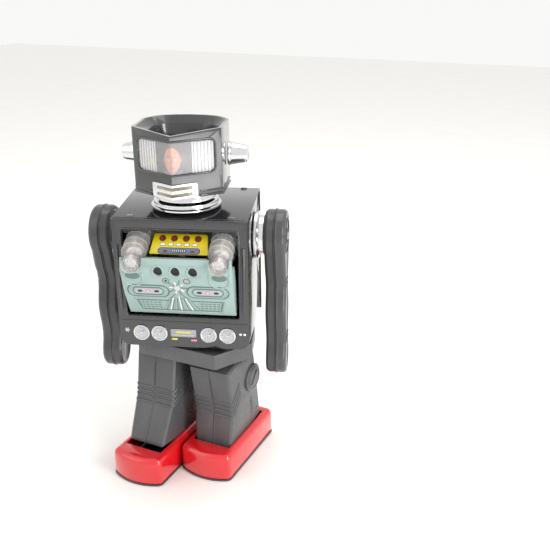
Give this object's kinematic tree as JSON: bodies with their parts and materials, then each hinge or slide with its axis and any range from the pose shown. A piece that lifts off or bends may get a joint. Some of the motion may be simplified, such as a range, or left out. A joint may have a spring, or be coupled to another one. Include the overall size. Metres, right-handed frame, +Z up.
{
  "type": "tin wind-up robot",
  "caption": "Walking toy robot of lacquered tin and moulded plastic with a swivelling upper body and a tilting chest console carrying two clear guns.",
  "frame": {"origin": "centre of the bounding box in plan, at the floor the rollers stand on", "axes": "+Z up; -Y the way the legs walk; +X towards the robot's left leg"},
  "size_m": [0.1612, 0.1272, 0.2934],
  "materials": {
    "black_lacquer": "glossy lacquer on tinplate",
    "red_lacquer": "glossy lacquer on tinplate",
    "grey_plastic": "fine moulded grain",
    "black_plastic": "satin",
    "white_plastic": "satin",
    "red_plastic": "gloss",
    "mint_plastic": "soft gloss",
    "clear_plastic": "transparent",
    "yellow_tin": "printed tinplate",
    "printed_card": "printed",
    "chrome": "vacuum metallised",
    "steel": "bare",
    "brass": "bare",
    "rubber": "matt"
  },
  "bodies": {
    "hips": {"hip_shell": "grey_plastic", "hip_axle": "steel", "turntable": "black_lacquer", "crank_bearing_left": "steel", "crank_bearing_right": "steel", "geared_motor": "black_plastic"},
    "right_leg": {"right_leg_inner": "grey_plastic", "right_leg_outer": "grey_plastic", "right_battery_spring": "steel", "right_battery_contact": "brass"},
    "left_leg": {"left_leg_inner": "grey_plastic", "left_leg_outer": "grey_plastic", "left_battery_spring": "steel", "left_battery_contact": "brass"},
    "right_foot": {"right_foot_shell": "red_lacquer", "right_foot_sole": "black_lacquer", "right_ankle_pin": "steel"},
    "left_foot": {"left_foot_shell": "red_lacquer", "left_foot_sole": "black_lacquer", "left_ankle_pin": "steel"},
    "right_door": {"right_battery_door": "grey_plastic"},
    "left_door": {"left_battery_door": "grey_plastic"},
    "right_front_wheel": {"right_front_roller": "rubber"},
    "right_rear_wheel": {"right_rear_roller": "rubber"},
    "left_front_wheel": {"left_front_roller": "rubber"},
    "left_rear_wheel": {"left_rear_roller": "rubber"},
    "crank": {"crankshaft": "steel", "crank_gear": "white_plastic"},
    "motor": {"motor_pinion": "brass"},
    "torso": {"back_cover": "black_lacquer", "chest_backing": "chrome", "face_plate": "printed_card", "gauge_1": "chrome", "gauge_2": "chrome", "gauge_3": "chrome", "gauge_4": "chrome", "head_shell": "black_lacquer", "inner_frame": "steel", "left_ear": "chrome", "right_ear": "chrome", "mouth_grille": "chrome", "neck_ring": "chrome", "swivel_ring": "white_plastic", "torso_shell": "black_lacquer", "visor": "clear_plastic"},
    "swivel_drive": {"swivel_pinion": "brass"},
    "console": {"chest_console": "mint_plastic", "left_gun": "clear_plastic", "right_gun": "clear_plastic", "left_lamp": "brass", "right_lamp": "brass", "printed_cover": "yellow_tin"},
    "cam": {"tilt_cam": "white_plastic"},
    "right_arm": {"right_arm_inner": "grey_plastic", "right_arm_outer": "grey_plastic", "right_shoulder_disc": "chrome"},
    "left_arm": {"left_arm_inner": "grey_plastic", "left_arm_outer": "grey_plastic", "left_shoulder_disc": "chrome"},
    "switch": {"power_switch": "red_plastic"}
  },
  "joints": [
    {"name": "right_leg_swing", "type": "hinge", "parent": "hips", "child": "right_leg", "pos_m": [-0.02168, 0.00348, 0.10394], "axis": [1, 0, 0], "range_deg": [0, 19.2]},
    {"name": "left_leg_swing", "type": "hinge", "parent": "hips", "child": "left_leg", "pos_m": [0.02692, 0.00348, 0.10394], "axis": [1, 0, 0], "range_deg": [-19.2, 0]},
    {"name": "right_ankle", "type": "hinge", "parent": "right_leg", "child": "right_foot", "pos_m": [-0.02168, -0.01153, 0.0152], "axis": [1, 0, 0], "range_deg": [-19.2, 0]},
    {"name": "left_ankle", "type": "hinge", "parent": "left_leg", "child": "left_foot", "pos_m": [0.02692, 0.01849, 0.0152], "axis": [1, 0, 0], "range_deg": [0, 19.2]},
    {"name": "crank_turn", "type": "hinge", "parent": "hips", "child": "crank", "pos_m": [0.00262, 0.01748, 0.10394], "axis": [1, 0, 0], "range_deg": [0, 180]},
    {"name": "motor_turn", "type": "hinge", "parent": "hips", "child": "motor", "pos_m": [0.00262, 0.01748, 0.11354], "axis": [1, 0, 0], "range_deg": [-360, 0]},
    {"name": "waist_swivel", "type": "hinge", "parent": "hips", "child": "torso", "pos_m": [0.00262, 0.00348, 0.1185], "axis": [0, 0, 1], "continuous": true},
    {"name": "swivel_pinion_turn", "type": "hinge", "parent": "hips", "child": "swivel_drive", "pos_m": [0.00262, -0.01402, 0.121], "axis": [0, 0, 1], "continuous": true},
    {"name": "console_tilt", "type": "hinge", "parent": "torso", "child": "console", "pos_m": [0.0126, -0.02534, 0.147], "axis": [0.9449, 0.3272, 0], "range_deg": [-18.5, 0]},
    {"name": "cam_turn", "type": "hinge", "parent": "torso", "child": "cam", "pos_m": [0.01184, -0.02313, 0.178], "axis": [0.9449, 0.3272, 0], "range_deg": [-180, 0]},
    {"name": "right_shoulder", "type": "hinge", "parent": "torso", "child": "right_arm", "pos_m": [-0.05433, -0.00777, 0.202], "axis": [0.9449, 0.3272, 0], "continuous": true},
    {"name": "left_shoulder", "type": "hinge", "parent": "torso", "child": "left_arm", "pos_m": [0.05434, 0.02986, 0.202], "axis": [0.9449, 0.3272, 0], "continuous": true},
    {"name": "switch_slide", "type": "slide", "parent": "torso", "child": "switch", "axis": [0, 0, 1], "range_m": [0, 0.0055]},
    {"name": "right_door_open", "type": "hinge", "parent": "right_leg", "child": "right_door", "pos_m": [-0.02168, 0.0161, 0.02919], "axis": [1, 0, 0], "range_deg": [-85, 0]},
    {"name": "left_door_open", "type": "hinge", "parent": "left_leg", "child": "left_door", "pos_m": [0.02692, 0.03998, 0.0375], "axis": [1, 0, 0], "range_deg": [-85, 0]},
    {"name": "right_front_roll", "type": "hinge", "parent": "right_foot", "child": "right_front_wheel", "pos_m": [-0.02168, -0.04152, 0.005], "axis": [1, 0, 0], "continuous": true},
    {"name": "right_rear_roll", "type": "hinge", "parent": "right_foot", "child": "right_rear_wheel", "pos_m": [-0.02168, 0.01047, 0.005], "axis": [1, 0, 0], "continuous": true},
    {"name": "left_front_roll", "type": "hinge", "parent": "left_foot", "child": "left_front_wheel", "pos_m": [0.02692, -0.01151, 0.005], "axis": [1, 0, 0], "continuous": true},
    {"name": "left_rear_roll", "type": "hinge", "parent": "left_foot", "child": "left_rear_wheel", "pos_m": [0.02692, 0.04049, 0.005], "axis": [1, 0, 0], "continuous": true}
  ],
  "couplings": [
    {"joint": "left_leg_swing", "follows": "right_leg_swing", "ratio": -1},
    {"joint": "right_ankle", "follows": "right_leg_swing", "ratio": -1},
    {"joint": "left_ankle", "follows": "right_leg_swing", "ratio": 1},
    {"joint": "crank_turn", "follows": "right_leg_swing", "ratio": 9.375},
    {"joint": "motor_turn", "follows": "right_leg_swing", "ratio": -18.75},
    {"joint": "swivel_pinion_turn", "follows": "waist_swivel", "ratio": 4.5},
    {"joint": "cam_turn", "follows": "console_tilt", "ratio": 9.7297}
  ]
}
